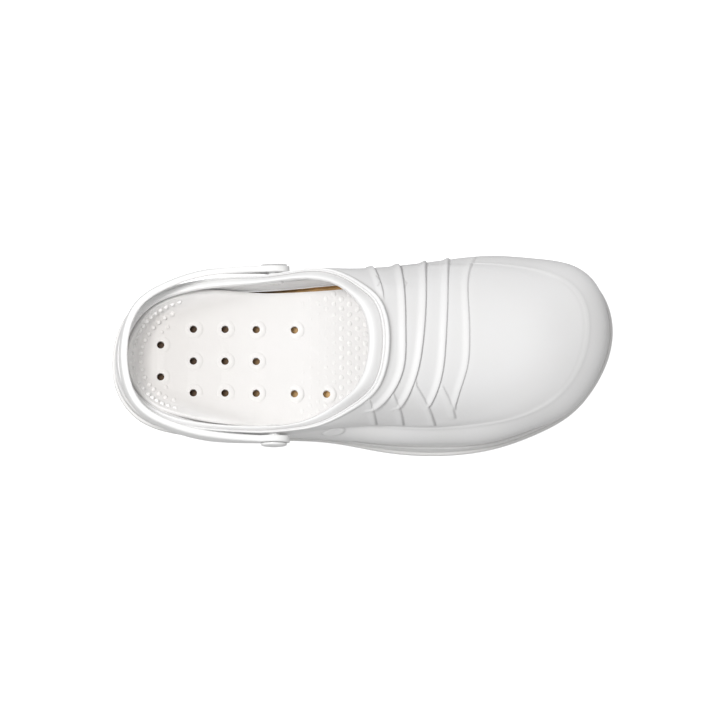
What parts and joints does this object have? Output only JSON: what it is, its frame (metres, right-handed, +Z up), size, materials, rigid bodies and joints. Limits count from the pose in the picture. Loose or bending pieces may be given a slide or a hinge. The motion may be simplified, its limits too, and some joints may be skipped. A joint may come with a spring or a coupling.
{
  "type": "moulded work clog",
  "caption": "Closed-toe moulded foam work clog with rolled collar, folded vamp, perforated insole and a back strap on rivets, right foot.",
  "frame": {"origin": "centre of the shoe's box on the floor, with the shoe standing on its sole", "axes": "+X from heel to toe, +Y to the medial side, +Z up"},
  "size_m": [0.27, 0.105, 0.0867],
  "materials": {
    "tread_foam": "white moulded foam rubber, fine matt",
    "sole_foam": "white moulded foam, satin",
    "upper_foam": "white moulded foam, satin skin",
    "insole_foam": "white foam, matt",
    "strap_foam": "white moulded foam, smooth",
    "rivet_plastic": "white plastic, satin"
  },
  "bodies": {
    "root": {"outsole": "tread_foam", "midsole": "sole_foam", "upper": "upper_foam", "insole": "insole_foam", "strap": "strap_foam", "rivet_lateral": "rivet_plastic", "rivet_medial": "rivet_plastic", "cap_lateral": "rivet_plastic", "cap_medial": "rivet_plastic"}
  },
  "joints": []
}
